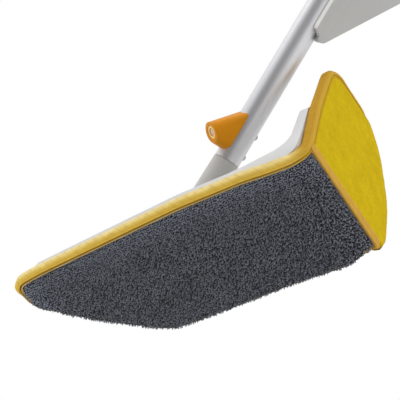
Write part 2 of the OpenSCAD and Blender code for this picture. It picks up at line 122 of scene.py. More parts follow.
def evenly(loop, pitch, smoothing=3):
    """A closed outline with evenly spaced points, lightly smoothed."""
    closed = np.vstack([loop, loop[:1]])
    length = np.concatenate([[0], np.cumsum(np.linalg.norm(np.diff(closed, axis=0), axis=1))])
    count = int(length[-1] / pitch)
    at = np.linspace(0, length[-1], count, endpoint=False)
    even = np.stack([np.interp(at, length, closed[:, k]) for k in (0, 1)], axis=1)
    for _ in range(smoothing):
        even = (np.roll(even, 1, axis=0) + 2 * even + np.roll(even, -1, axis=0)) / 4
    return even


def outward(loop):
    """Unit normals of an anticlockwise closed outline."""
    along = np.roll(loop, -1, axis=0) - np.roll(loop, 1, axis=0)
    along /= np.linalg.norm(along, axis=1, keepdims=True)
    return np.stack([along[:, 1], -along[:, 0]], axis=1)


def pad_loop(pitch):
    """The pad's outline with the L laid flat: distance along the sheet, and place across it."""
    flat = rounded(PILE_PLAN)
    flat = np.vstack([flat[1:], flat[:1]])
    wall = rounded(WALL_PLAN)[::-1]
    wall = wall[wall[:, 1] > MID_DEPTH]
    height = wall[:, 1]
    bend = np.arccos(np.clip((HEEL_R - height) / MID_R, 0, 1)) * MID_R
    along = BEND_X + np.where(height < HEEL_R, bend, QUARTER + height - HEEL_R)
    return evenly(np.vstack([flat, np.stack([along, wall[:, 0]], axis=1)]), pitch)


def on_sheet(s, y, t):
    """Head coordinates of points at distance s along the sheet, y across and depth t from the wiping face."""
    a = np.clip((s - BEND_X) / MID_R, 0, math.pi / 2)
    run = np.minimum(s, BEND_X)
    rise = np.maximum(s - BEND_X - QUARTER, 0)
    x = run + (HEEL_R - t) * np.sin(a)
    z = HEEL_R - (HEEL_R - t) * np.cos(a) + rise
    return np.stack(np.broadcast_arrays(x, y, z), axis=-1)


def inside(loop, s, y):
    """Whether each point lies inside a closed outline."""
    hit = np.zeros(len(s), bool)
    for (s0, y0), (s1, y1) in zip(loop, np.roll(loop, -1, axis=0)):
        crosses = (y0 > y) != (y1 > y)
        slope = (s1 - s0) / (y1 - y0) if y1 != y0 else 0
        hit ^= crosses & (s < s0 + slope * (y - y0))
    return hit


def edge_distance(loop, s, y):
    """Distance of each point from the nearest point of an outline."""
    far = np.full(s.shape, 1e9)
    for p in loop:
        far = np.minimum(far, (s - p[0]) ** 2 + (y - p[1]) ** 2)
    return np.sqrt(far)


def smoothstep(low, high, value):
    f = np.clip((value - low) / (high - low), 0, 1)
    return f * f * (3 - 2 * f)


def waves(s, y, seed, wavelength, octaves=3):
    """Smooth random unevenness from -1 to 1, made of a few crossing waves."""
    rng = np.random.default_rng(seed)
    total = np.zeros(np.broadcast(s, y).shape)
    for k in range(octaves * 4):
        a, phase = rng.uniform(0, math.tau, 2)
        octave = 1 + k // 4
        size = wavelength * rng.uniform(0.6, 1.6) / octave
        along = s * math.cos(a) + y * math.sin(a)
        total = total + np.sin(along * math.tau / size + phase) / octave
    return total / (octaves * 2)


# ---- meshes ----
def new_piece(name, points, faces):
    """A mesh object from head coordinates in millimetres."""
    mesh = bpy.data.meshes.new(name)
    mesh.from_pydata((np.asarray(points) * MM).tolist(), [], faces)
    mesh.validate()
    mesh.transform(HEAD)
    mesh.update()
    mesh.shade_smooth()
    obj = bpy.data.objects.new(name, mesh)
    bpy.context.scene.collection.objects.link(obj)
    return obj


def attribute(obj, name, values):
    """Stores a number for each point of a piece, for its material to read."""
    stored = obj.data.attributes.new(name, "FLOAT", "POINT")
    stored.data.foreach_set("value", values.astype(np.float32).ravel())


def grid_faces(rows, columns, start=0, wrap_rows=False, wrap_columns=False):
    """Faces of a grid of points, row after row."""
    faces = []
    for i in range(rows if wrap_rows else rows - 1):
        for j in range(columns if wrap_columns else columns - 1):
            i2, j2 = (i + 1) % rows, (j + 1) % columns
            corners = ((i, j), (i, j2), (i2, j2), (i2, j))
            faces.append(tuple(start + a * columns + b for a, b in corners))
    return faces


def outward_faces(obj):
    """Turns every face of a closed mesh outwards."""
    bm = bmesh.new()
    bm.from_mesh(obj.data)
    bmesh.ops.recalc_face_normals(bm, faces=bm.faces)
    bm.to_mesh(obj.data)
    bm.free()
    return obj


def slab(name, loop, s_low, s_high, top, bottom, pitch, skin=None):
    """A closed layer of the pad inside loop, between depths top and bottom, with rounded edges.
    skin(s, y) adds unevenness to its outer face."""
    s_low, s_high = max(s_low, loop[:, 0].min() + 0.4), min(s_high, loop[:, 0].max() - 0.4)
    rows = int((s_high - s_low) / pitch) + 2
    blend = (1 - np.cos(np.linspace(0, math.pi, rows))) / 2
    s_rows = s_low + (s_high - s_low) * (0.7 * np.linspace(0, 1, rows) + 0.3 * blend)
    spans = []
    for s in s_rows:
        a, b = loop, np.roll(loop, -1, axis=0)
        cut = (a[:, 0] > s) != (b[:, 0] > s)
        at = a[cut, 1] + (b[cut, 1] - a[cut, 1]) * (s - a[cut, 0]) / (b[cut, 0] - a[cut, 0])
        spans.append((at.min(), at.max()))
    spans = np.array(spans)
    columns = int((spans[:, 1] - spans[:, 0]).max() / pitch) + 2
    across = np.linspace(0, 1, columns)
    s = np.repeat(s_rows[:, None], columns, axis=1)
    y = spans[:, :1] + (spans[:, 1:] - spans[:, :1]) * across
    near = edge_distance(loop, s, y)
    near[0] = near[-1] = near[:, 0] = near[:, -1] = 0
    round_r = (bottom - top) / 2
    drop = round_r - np.sqrt(np.maximum(round_r**2 - np.maximum(round_r - near, 0) ** 2, 0))
    upper = top + drop + (skin(s, y) if skin else 0)
    lower = bottom - drop * 0.98
    points = np.vstack([on_sheet(s, y, upper).reshape(-1, 3), on_sheet(s, y, lower).reshape(-1, 3)])
    count = rows * columns
    faces = grid_faces(rows, columns) + [f[::-1] for f in grid_faces(rows, columns, count)]
    rim = [j for j in range(columns)] + [i * columns + columns - 1 for i in range(1, rows)]
    rim += [(rows - 1) * columns + j for j in range(columns - 2, -1, -1)]
    rim += [i * columns for i in range(rows - 2, 0, -1)]
    for a, b in zip(rim, rim[1:] + rim[:1]):
        faces.append((b, a, a + count, b + count))
    return outward_faces(new_piece(name, points, faces))


SHARP_ANGLE = math.radians(30)  # an edge that turns more than this is rounded, and shaded sharp


def softened(node, width, segments):
    """A copy of a rigid CAD node with its edges rounded, which stands for the node."""
    source = nodes[node]
    bm = bmesh.new()
    bm.from_mesh(source.data)
    bmesh.ops.remove_doubles(bm, verts=bm.verts, dist=1e-6)
    bmesh.ops.dissolve_limit(bm, angle_limit=math.radians(0.6), verts=bm.verts, edges=bm.edges)
    mesh = bpy.data.meshes.new(node + "_soft")
    bm.to_mesh(mesh)
    bm.free()
    if "custom_normal" in mesh.attributes:
        mesh.attributes.remove(mesh.attributes["custom_normal"])
    obj = bpy.data.objects.new(node + "_soft", mesh)
    bpy.context.scene.collection.objects.link(obj)
    bevel = obj.modifiers.new("Edges", "BEVEL")
    bevel.width = width * MM
    bevel.segments = segments
    bevel.limit_method = "ANGLE"
    bevel.angle_limit = SHARP_ANGLE
    bevel.use_clamp_overlap = True
    return applied(obj)


def applied(obj):
    """Applies the modifiers of a piece and shades it smooth, apart from its sharp edges."""
    graph = bpy.context.evaluated_depsgraph_get()
    mesh = bpy.data.meshes.new_from_object(obj.evaluated_get(graph))
    obj.modifiers.clear()
    obj.data = mesh
    mesh.shade_smooth()
    mesh.set_sharp_from_angle(angle=SHARP_ANGLE)
    return obj


# ---- materials: scales are per metre in the row frame ----
class Finish:
    """A Principled material that is built up from noise patterns."""

    def __init__(self, name, color, roughness, **sockets):
        self.material = bpy.data.materials.new(name)
        self.material.use_nodes = True
        self.tree = self.material.node_tree
        self.shader = self.tree.nodes["Principled BSDF"]
        self.shader.inputs["Base Color"].default_value = (*color, 1)
        self.shader.inputs["Roughness"].default_value = roughness
        for socket, value in sockets.items():
            self.shader.inputs[socket.replace("_", " ")].default_value = value
        self.color = color
        self.roughness = roughness
        self.place = self.node("ShaderNodeTexCoord").outputs["Object"]
        self.tint = None
        self.height = None

    def node(self, kind, inputs=None, **settings):
        made = self.tree.nodes.new(kind)
        for key, value in settings.items():
            setattr(made, key, value)
        for key, value in (inputs or {}).items():
            if isinstance(value, bpy.types.NodeSocket):
                self.tree.links.new(value, made.inputs[key])
            else:
                made.inputs[key].default_value = value
        return made

    def stretched(self, scale):
        return self.node("ShaderNodeMapping", {"Vector": self.place, "Scale": scale}).outputs["Vector"]

    def noise(self, scale, detail, where=None):
        inputs = {"Vector": where or self.place, "Scale": scale, "Detail": detail}
        return self.node("ShaderNodeTexNoise", inputs).outputs["Fac"]

    def reading(self, name):
        return self.node("ShaderNodeAttribute", attribute_name=name).outputs["Fac"]

    def spread(self, value, low, high, to_low=0.0, to_high=1.0):
        inputs = {"Value": value, "From Min": low, "From Max": high, "To Min": to_low, "To Max": to_high}
        return self.node("ShaderNodeMapRange", inputs).outputs["Result"]

    def math(self, operation, a, b):
        return self.node("ShaderNodeMath", {0: a, 1: b}, operation=operation).outputs[0]

    def blend_color(self, factor, color):
        """Mixes color into the base colour by a pattern."""
        start = self.tint or (*self.color, 1)
        mix = self.node("ShaderNodeMix", data_type="RGBA")
        for socket, value in ((0, factor), (6, start), (7, (*color, 1))):
            if isinstance(value, bpy.types.NodeSocket):
                self.tree.links.new(value, mix.inputs[socket])
            else:
                mix.inputs[socket].default_value = value
        self.tint = mix.outputs[2]
        self.tree.links.new(self.tint, self.shader.inputs["Base Color"])
        return self

    def mottle(self, scale, amount, where=None):
        """Darker and lighter patches of the base colour."""
        patches = self.spread(self.noise(scale, 3.0, where), 0.3, 0.7)
        return self.blend_color(patches, tuple(max(0, c * (1 - amount)) for c in self.color))

    def rough_patches(self, scale, amount, where=None):
        low, high = self.roughness - amount, self.roughness + amount
        value = self.spread(self.noise(scale, 4.0, where), 0.3, 0.7, low, high)
        self.tree.links.new(value, self.shader.inputs["Roughness"])
        return self

    def bump(self, pattern, depth_mm):
        """Adds a pattern to the surface's relief, depth_mm deep."""
        inputs = {"Height": pattern, "Distance": depth_mm * MM, "Strength": 1.0}
        if self.height:
            inputs["Normal"] = self.height
        self.height = self.node("ShaderNodeBump", inputs).outputs["Normal"]
        self.tree.links.new(self.height, self.shader.inputs["Normal"])
        return self

    def on(self, *pieces):
        for piece in pieces:
            piece.data.materials.clear()
            piece.data.materials.append(self.material)
        return self

    def on_nodes(self, *names):
        for name in names:
            for slot in nodes[name].material_slots:
                slot.material = self.material
        return self


def moulded(name, color, roughness, grain=0.03, **sockets):
    """Injection-moulded plastic: fine spark grain, faint flow marks and handling scuffs."""
    finish = Finish(name, color, roughness, **sockets)
    finish.mottle(25, 0.06).rough_patches(60, 0.07)
    finish.bump(finish.noise(1800, 3.0), grain)
    return finish


def drawn_metal(name, color, roughness, streak=(1500, 1500, 12)):
    """Metal with fine marks along one axis."""
    finish = Finish(name, color, roughness, Metallic=1.0)
    marks = finish.stretched(streak)
    finish.mottle(1.0, 0.10, where=marks).rough_patches(1.0, 0.06, where=marks)
    finish.bump(finish.noise(1.0, 3.0, marks), 0.006)
    return finish


aluminium = drawn_metal("aluminium_drawn", (0.80, 0.80, 0.815), 0.5)
steel = drawn_metal("steel_plain", (0.56, 0.56, 0.57), 0.36, (900, 900, 900))
grey_plastic = moulded("plastic_warm_grey", (0.55, 0.54, 0.51), 0.55)
grip_plastic = moulded("plastic_grip", (0.50, 0.49, 0.46), 0.5)
orange_plastic = moulded("plastic_orange", (0.72, 0.27, 0.001), 0.42, 0.015, Specular_IOR_Level=0.15)
ring_plastic = moulded("plastic_light_orange", (0.96, 0.61, 0.15), 0.4, 0.01)
pale_plastic = moulded("plastic_pale", (0.78, 0.60, 0.52), 0.35, 0.01)
white_plastic = moulded("plastic_white", (0.645, 0.64, 0.635), 0.45, 0.02)
tank_plastic = moulded("plastic_tank", (0.52, 0.52, 0.505), 0.48, 0.02)
# painted highlight: a light line along the tank's front edge, where its bevel would catch the light
tank_y = tank_plastic.node("ShaderNodeSeparateXYZ", {"Vector": tank_plastic.place}).outputs["Y"]
edge_painted_highlight = tank_plastic.spread(tank_y, -0.0001, -0.0007)  # 1 on the tank's front edge, where a painted highlight lightens the colour
tank_plastic.blend_color(edge_painted_highlight, (0.86, 0.85, 0.81))
inner_plastic = moulded("plastic_natural", (0.72, 0.72, 0.69), 0.45, 0.01)
rubber = moulded("rubber_black", (0.045, 0.045, 0.047), 0.75, 0.04)

aluminium.on_nodes("pole_tube")
steel.on_nodes("tilt_pin", "housing_screws", "valve_spring", "pull_rod", "dock_screws", "grip_screws")
steel.on_nodes("trigger_pin", "swing_pin", "bracket_screws")
inner_plastic.on_nodes("outlet_pipe", "valve_body", "valve_plunger", "rod_collar", "feed_hose", "tank_outlet")
rubber.on_nodes("tip_seal", "outlet_seal", "cap_gasket")


# ---- rigid shells with rounded edges ----
def shell(node, body, finish, width, segments=3):
    """Stands a rounded copy in for a rigid node. The width of the rounding is in millimetres."""
    piece = softened(node, width, segments)
    finish.on(piece)
    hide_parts(node)
    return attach(piece, body)


shell("joint_socket", "pole", grey_plastic, 0.5)
shell("spray_housing", "pole", orange_plastic, 1.1)
shell("tip_ring", "pole", ring_plastic, 0.4)
shell("spray_tip", "pole", pale_plastic, 0.3)
shell("tank_dock", "pole", orange_plastic, 0.6)
shell("end_cap", "pole", orange_plastic, 1.2)
shell("grip_left", "pole", grip_plastic, 0.4)
shell("grip_right", "pole", grip_plastic, 0.4)
shell("grip_sleeve", "pole", rubber, 0.4)
shell("trigger", "lever", orange_plastic, 0.9)
shell("tank_shell", "tank", tank_plastic, 2.2, 4)
shell("tank_cap", "cap", orange_plastic, 0.4)
shell("cross_block", "cross", grey_plastic, 0.6)
shell("joint_bracket", "head", grey_plastic, 0.6)
shell("base_plate", "head", white_plastic, 1.2, 4)

# ---- valve spring: a copy with a mesh of its own, on the pole ----
spring = bpy.data.objects.new("valve_spring_wire", nodes["valve_spring"].data.copy())
bpy.context.scene.collection.objects.link(spring)
steel.on(spring)
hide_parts("valve_spring")
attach(spring, "pole")
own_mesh(spring)

# ---- fabrics ----
pile_finish = Finish("pile_yarn", (0.350, 0.368, 0.420), 0.8, Specular_IOR_Level=0.15, Sheen_Weight=0.05)
pile_finish.blend_color(pile_finish.reading("tone"), (0.095, 0.099, 0.116))
# painted light: loops near the leading edge and the nose are painted lighter and bluer, as where light grazes
# them
pile_finish.blend_color(pile_finish.reading("lead_painted_light"), (0.50, 0.56, 0.68))
root_painted_shade = pile_finish.spread(pile_finish.reading("tip"), 1.0, 0.1, 0.0, 0.9)  # painted shade: yarn is painted darkest at its root, where the loops shade each other
pile_finish.blend_color(root_painted_shade, (0.014, 0.015, 0.018))
pile_finish.bump(pile_finish.noise(6000, 2.0), 0.06)

backing_finish = Finish("pile_backing", (0.035, 0.037, 0.045), 0.9)
backing_finish.mottle(900, 0.5).bump(backing_finish.noise(2500, 2.0), 0.2)

velour_finish = Finish("velour", (0.66, 0.47, 0.004), 0.9, Specular_IOR_Level=0.05)
# patches in the nap: noise scale and detail, the noise values where a patch starts and ends, strength, colour
VELOUR_PATCHES = (
    (70, 5.0, 0.32, 0.68, 0.9, (0.54, 0.375, 0.004)),
    (1100, 2.0, 0.35, 0.7, 0.4, (0.78, 0.57, 0.01)),
    (300, 4.0, 0.35, 0.68, 0.4, (0.46, 0.31, 0.003)),
)
for scale, detail, low, high, strength, color in VELOUR_PATCHES:
    patches = velour_finish.spread(velour_finish.noise(scale, detail), low, high, 0.0, strength)
    velour_finish.blend_color(patches, color)
velour_finish.bump(velour_finish.noise(1700, 3.0), 0.25)


RIB_PITCH, WARP_PITCH, DASH_PITCH = 0.9, 0.6, 8.5
DASH_SLANT = 0.9


def tape(name, color, shade, tones=()):
    """Woven tape: ribs across its length, crossed by finer warp threads, with slanted dashes of stitching.

    Each of the tones is an attribute of the mesh and the colour where it is 1."""
    finish = Finish(name, color, 0.8, Specular_IOR_Level=0.1)
    for part, tone in tones:
        finish.blend_color(finish.reading(part), tone)
    weave = finish.node("ShaderNodeUVMap", uv_map="weave").outputs["UV"]
    parts = finish.node("ShaderNodeSeparateXYZ", {"Vector": weave})
    ribs = finish.math("SINE", finish.math("MULTIPLY", parts.outputs["X"], math.tau / RIB_PITCH), 0)
    warp = finish.math("SINE", finish.math("MULTIPLY", parts.outputs["Y"], math.tau / WARP_PITCH), 0)
    threads = finish.math("MULTIPLY", ribs, warp)
    finish.blend_color(finish.spread(threads, -1, 1, 0.0, 0.25), shade)
    finish.blend_color(finish.spread(finish.noise(120, 4.0), 0.35, 0.65, 0.0, 0.3), shade)
    slant = finish.math("ADD", parts.outputs["X"], finish.math("MULTIPLY", parts.outputs["Y"], DASH_SLANT))
    dashes = finish.math("SINE", finish.math("MULTIPLY", slant, math.tau / DASH_PITCH), 0)
    finish.blend_color(finish.spread(dashes, 0.6, 1.0, 0.0, 0.2), shade)
    finish.bump(threads, 0.08).bump(finish.noise(2600, 2.0), 0.12)
    return finish


binding_tones = (
    # painted highlight: the top of the tape's roll, on the plate side, is painted paler, as where the light
    # falls on it
    ("roll_top_painted_light", (0.98, 0.87, 0.50)),
    # painted shade: the lower side of the roll, near the wiping face, is painted darker
    ("roll_low_painted_shade", (0.88, 0.58, 0.085)),
    # painted shade: the binding along the wall is painted darker, as where it turns away from the light
    ("wall_painted_shade", (0.52, 0.28, 0.022)),
    # painted shade: the groove beside the pile is painted dark
    ("groove_painted_shade", (0.22, 0.15, 0.020)),
    ("lip", (0.68, 0.48, 0.14)),
    ("ridge", (0.66, 0.40, 0.047)),
    # painted shade: the groove and lip of the binding on the wall are painted darker
    ("wall_inner_painted_shade", (0.62, 0.40, 0.016)),
)
binding_finish = tape("binding_tape", (0.98, 0.74, 0.160), (0.66, 0.38, 0.035), binding_tones)
seam_finish = tape("seam_tape", (0.72, 0.42, 0.070), (0.52, 0.26, 0.022))
thread_finish = Finish("thread_cream", (0.80, 0.66, 0.36), 0.7, Sheen_Weight=0.3)
thread_finish.mottle(700, 0.3).bump(thread_finish.noise(5000, 2.0), 0.05)
felt_finish = Finish("felt_core", (0.52, 0.47, 0.36), 0.9, Sheen_Weight=0.2)
felt_finish.mottle(400, 0.25).bump(felt_finish.noise(1500, 4.0), 0.3)
hook_finish = Finish("hook_tape", (0.09, 0.09, 0.095), 0.7)
hook_finish.mottle(800, 0.5)
hooks = hook_finish.node("ShaderNodeTexVoronoi", {"Vector": hook_finish.place, "Scale": 900})
hook_finish.bump(hooks.outputs["Distance"], 0.5)
hook_finish.on_nodes("hook_strips")


def head_piece(piece, slot, finish, *replaced):
    finish.on(piece)
    if replaced:
        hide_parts(*replaced)
    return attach(piece, "head")


# ---- pad layers ----
SEAM_S = BEND_X + MID_R * SEAM_A
TAPE_S = BEND_X + MID_R * TAPE_A
EVERYWHERE = 400  # further along the sheet than either of its ends
PILE_OVERHANG = 3.2
loop = pad_loop(2)
# The soft lead edge stands out past the plate, and the far edge is drawn in at the bend.
full_lead = smoothstep(-295, -250, loop[:, 0]) * smoothstep(-2, -40, loop[:, 0])
loop[:, 1] -= 2.2 * full_lead * smoothstep(30, 5, loop[:, 1])
loop[:, 1] -= 2.0 * smoothstep(60, 110, loop[:, 1]) * np.exp(-(((loop[:, 0] - 20) / 12) ** 2))
normals = outward(loop)
# Three shares from 0 to 1 for each point of the edge: how far it is on the heel's side of the bend,
# how far the pile hides the binding there, and how far the velour comes round the edge.
heel_ward = smoothstep(8, 30, loop[:, 0])
far_side = smoothstep(-0.6, 0.3, normals[:, 1]) * smoothstep(34, 22, loop[:, 0])
wall_far = heel_ward * smoothstep(-0.3, 0.7, normals[:, 1])
wavy = 1.5 * np.exp(-(((loop[:, 0] + 235) / 20) ** 2)) - 2.0 * np.exp(-(((loop[:, 0] + 60) / 45) ** 2))
wavy -= 3.0 * smoothstep(-262, -282, loop[:, 0]) + 2.2 * smoothstep(-6, 12, loop[:, 0])
pile_loop = loop + normals * ((PILE_OVERHANG + wavy) * far_side - 3.1 * (1 - far_side))[:, None]
backing_reach = (PILE_OVERHANG + wavy - 0.6) * far_side - 2.2 * (1 - far_side)
backing_loop = loop + normals * backing_reach[:, None]
layer_loop = loop - normals * 0.4
velour_loop = loop + normals * (6.0 * wall_far - 2.2)[:, None]

core = slab("pad_felt", layer_loop, -EVERYWHERE, EVERYWHERE, 4.1, CORE_T, 3.5)
head_piece(core, "pad_core", felt_finish, "pad_core")

backing = slab("pile_backing", backing_loop, -EVERYWHERE, SEAM_S, 2.4, 4.0, 3.0)
head_piece(backing, "pile", backing_finish)



def nap(s, y):
    """Soft unevenness of the velour's face."""
    return 0.35 * waves(s, y, 3, 30) + 0.10 * waves(s, y, 5, 3.0)


velour = slab("wall_velour", velour_loop, TAPE_S - 1.5, EVERYWHERE, 0.5, 4.0, 1.1, nap)
head_piece(velour, "velour", velour_finish, "wall_face")


def seam_skew(y):
    """The seam runs slightly askew across the pad."""
    return 0.02 * (60 - y)


def pile_yarn():
    """Curly loops of yarn, standing in jittered rows over the floor side of the pad."""
    rng = np.random.default_rng(SEED)
    row_pitch, loop_pitch = 2.2, 1.55
    s = np.arange(loop[:, 0].min() - 5, SEAM_S + 0.5, loop_pitch)
    y = np.arange(-6, PILE_W + 8, row_pitch)
    s, y = np.meshgrid(s, y, indexing="ij")
    s = s + (np.arange(s.shape[1]) % 2)[None, :] * loop_pitch / 2
    s, y = s.ravel(), y.ravel()
    order = 0.35 + 0.65 * smoothstep(10, 50, y)  # the knit rows show best near the leading edge
    s = s + rng.uniform(-0.6, 0.6, len(s)) * order
    y = y + rng.uniform(-0.75, 0.75, len(y)) * order + 0.8 * waves(s, y, 9, 60)
    keep = inside(pile_loop, s, y) & (s < SEAM_S + seam_skew(y))
    s, y, order = s[keep], y[keep], order[keep]
    count = len(s)
    near = edge_distance(pile_loop, s, y)
    turn = rng.normal(0.3, 0.4 + 1.3 * order, count)
    reach = rng.uniform(0.65, 1.05, count) * (0.45 + 0.55 * smoothstep(0.5, 3.0, near))
    sink = 1.5 * np.exp(-near / 2.4)
    peak = rng.uniform(-0.5, 0.9, count) * (0.3 + 0.7 * smoothstep(0, 3, near))
    peak = peak + sink + 0.45 * waves(s, y, 11, 28)
    root = 3.0 + sink * 0.4
    thick = rng.uniform(0.37, 0.49, count)
    lean_s, lean_y = rng.uniform(-0.6, 0.6, (2, count)) * smoothstep(0, 2.5, near)
    rings, sides = 4, 3
    points = np.zeros((count, rings, sides, 3))
    for i in range(rings):
        theta = math.pi * i / (rings - 1)
        mid_s = s - reach * math.cos(theta) * np.cos(turn) + lean_s * math.sin(theta)
        mid_y = y - reach * math.cos(theta) * np.sin(turn) + lean_y * math.sin(theta)
        mid_t = root + (peak - root) * math.sin(theta) ** 0.8
        for k in range(sides):
            angle = math.tau * k / sides + 0.5
            out, side = thick * math.cos(angle), thick * math.sin(angle)
            points[:, i, k] = on_sheet(
                mid_s - out * math.cos(theta) * np.cos(turn) - side * np.sin(turn),
                mid_y - out * math.cos(theta) * np.sin(turn) + side * np.cos(turn),
                mid_t - out * math.sin(theta),
            )
    faces = []
    one = grid_faces(rings, sides, wrap_columns=True)
    for n in range(count):
        start = n * rings * sides
        faces.extend(tuple(start + v for v in face) for face in one)
    piece = outward_faces(new_piece("pile_yarn", points.reshape(-1, 3), faces))
    # tip is 1 at the top of each loop and 0 at its root, where the material paints shade
    tip = np.array([0.0, 1.0, 1.0, 0.0])[None, :, None] * np.ones((count, 1, sides))
    # painted light: near the leading edge and the nose the loops are painted lighter, and fewer of them are
    # dark
    lead_painted_light_reach = np.exp(-np.maximum(y - 1, 0) / 12) + 0.6 * smoothstep(-255, -290, s)
    lead_painted_light_reach = np.minimum(lead_painted_light_reach, 1)
    tone = rng.uniform(0, 1, count) ** 1.3 * (0.85 + 0.3 * waves(s, y, 15, 45)) * (1 - 0.5 * lead_painted_light_reach)
    lead_painted_light = lead_painted_light_reach * rng.uniform(0, 1, count) ** 0.9
    attribute(piece, "tip", tip)
    attribute(piece, "tone", np.repeat(np.clip(tone, 0, 1), rings * sides))
    attribute(piece, "lead_painted_light", np.repeat(lead_painted_light, rings * sides))
    return piece


head_piece(pile_yarn(), "pile", pile_finish, "floor_pile")


# ---- binding round the edge ----
def swept(name, path, path_normals, profile, grow, closed=True):
    """A tape along a path on the sheet. The profile is a closed list of (outwards, depth)."""
    profile = rounded(profile, 3)
    rows, columns = len(path), len(profile)
    points = np.zeros((rows, columns, 3))
    for j, (out, depth) in enumerate(profile):
        o, t = grow(out, depth)
        points[:, j] = on_sheet(path[:, 0] + path_normals[:, 0] * o, path[:, 1] + path_normals[:, 1] * o, t)
    piece = new_piece(name, points.reshape(-1, 3), grid_faces(rows, columns, 0, closed, True))
    if not closed:
        bm = bmesh.new()
        bm.from_mesh(piece.data)
        bmesh.ops.holes_fill(bm, edges=bm.edges)
        bm.to_mesh(piece.data)
        bm.free()
    outward_faces(piece)
    along = np.concatenate([[0], np.cumsum(np.linalg.norm(np.diff(path, axis=0), axis=1))])
    around = np.concatenate([[0], np.cumsum(np.linalg.norm(np.diff(profile, axis=0), axis=1))])
    weave = piece.data.uv_layers.new(name="weave")
    corner_points = np.zeros(len(piece.data.loops), np.int32)
    piece.data.loops.foreach_get("vertex_index", corner_points)
    uv = np.stack([along[corner_points // columns], around[corner_points % columns]], axis=1)
    weave.data.foreach_set("uv", uv.astype(np.float32).ravel())
    return piece


BINDING_PROFILE = [
    (-2.9, 3.0, 0.2),
    (-2.8, 0.3, 0.4),
    (-1.7, 0.3, 0.4),
    (-1.4, 2.9, 0.2),
    (-0.2, 2.9, 0.2),
    (0.2, -0.1, 0.6),
    (2.6, -0.5, 1.5),
    (5.2, 2.6, 2.0),
    (5.2, 8.4, 2.2),
    (3.0, 10.9, 1.8),
    (-2.2, 10.6, 0.4),
    (-2.2, 9.2, 0.3),
    (0.2, 8.9, 0.5),
    (0.2, 3.0, 0.4),
]
HIDDEN_DROP = 2.6  # how much deeper the binding's outer face lies where pile or velour covers it
wander = np.cumsum(np.linalg.norm(np.roll(loop, -1, axis=0) - loop, axis=1))
pucker = 0.10 * np.sin(wander * math.tau / 7.3) + 0.22 * waves(loop[:, 0], loop[:, 1], 21, 40)


def edge_shape(out, depth):
    """The binding is full along the leading edge and the wall, and flatter under the far edge's pile."""
    full = 1 - 0.98 * far_side - 0.08 * wall_far
    o = np.where(out > 0, out * full + pucker * (out / 5), out)
    t = depth + 0.5 * pucker
    if depth < 3:
        t = t + HIDDEN_DROP * np.maximum(far_side, wall_far)
    if depth > 2 and -2 < out < 0:
        t = t - 1.8 * heel_ward  # the groove is shallow on the wall
    return o, t


binding = swept("edge_tape", loop, normals, BINDING_PROFILE, edge_shape)
out, depth = rounded(BINDING_PROFILE, 3).T
# the groove's mask, where painted shade darkens the tape, and the lip's mask
groove_painted_shade = (depth > 1.2) & (out > -2) & (out < 0.1)
lip = (depth < 1.2) & (out < -1.2)
# painted shade on the lower part of the roll's outer face
roll_low_painted_shade = smoothstep(2.5, 0, depth) * (out > 0)
# painted highlight on the upper part of the roll's outer face
roll_top_painted_light = smoothstep(-1, 8, depth) * (out > 0)
ridge = (depth < 1) & (out > 0) & (out < 4)
wall_part = np.repeat(heel_ward, len(out))
# painted shade over the wall's part of the binding
attribute(binding, "wall_painted_shade", wall_part)
for part, amount in (("groove_painted_shade", groove_painted_shade), ("lip", lip), ("roll_low_painted_shade", roll_low_painted_shade), ("roll_top_painted_light", roll_top_painted_light)):
    attribute(binding, part, np.tile(amount, len(loop)) * (1 - wall_part))
# on the wall, the groove and lip carry painted shade
for part, amount in (("ridge", ridge), ("wall_inner_painted_shade", groove_painted_shade | lip)):
    attribute(binding, part, np.tile(amount, len(loop)) * wall_part)
head_piece(binding, "binding", binding_finish, "edge_binding")

# ---- seam tape between pile and velour ----
SEAM_PROFILE = [
    (-0.2, 2.4, 0.3),
    (0.0, -0.1, 0.6),
    (0.8, -0.9, 0.5),
    (2.2, -0.5, 0.5),
    (6.4, -0.5, 0.8),
    (8.2, 0.0, 0.6),
    (8.8, 2.4, 0.3),
]
across_pad = np.linspace(-20, 160, 400)
across_pad = across_pad[inside(loop, np.full(len(across_pad), SEAM_S), across_pad)]
SEAM_POINTS = 80
seam_y = np.linspace(across_pad.min() - 0.5, across_pad.max() + 0.5, SEAM_POINTS)
seam_path = np.stack([SEAM_S + seam_skew(seam_y), seam_y], axis=1)
seam_normals = np.tile([1.0, 0.0], (SEAM_POINTS, 1))
seam_wave = 0.12 * np.sin(seam_y * math.tau / 6.1)
seam = swept("seam_tape_roll", seam_path, seam_normals, SEAM_PROFILE, lambda o, t: (o, t + seam_wave), False)
head_piece(seam, "binding", seam_finish, "seam_binding")


def stitches(name, path, depth, length=2.5, gap=0.9, radius=0.27):
    """A line of short threads that dip into the cloth at both ends."""
    run = np.concatenate([[0], np.cumsum(np.linalg.norm(np.diff(path, axis=0), axis=1))])
    rings, sides = 5, 5
    points, faces = [], []
    for start in np.arange(1, run[-1] - length, length + gap):
        at = start + np.linspace(0, length, rings)
        s, y, t = (np.interp(at, run, v) for v in (path[:, 0], path[:, 1], depth))
        heading = np.array((s[-1] - s[0], y[-1] - y[0]))
        heading /= np.linalg.norm(heading)
        arch = np.sin(np.linspace(0, math.pi, rings))
        for k in range(rings):
            for j in range(sides):
                side, up = (radius * f(math.tau * j / sides) for f in (math.cos, math.sin))
                sunk = t[k] + 0.35 - 0.45 * arch[k] - up
                points.append(on_sheet(s[k] - heading[1] * side, y[k] + heading[0] * side, sunk))
        base = len(points) - rings * sides
        faces.extend(grid_faces(rings, sides, base, False, True))
        faces.append(tuple(base + j for j in range(sides)))
        faces.append(tuple(base + (rings - 1) * sides + j for j in range(sides)))
    return outward_faces(new_piece(name, np.array(points), faces))


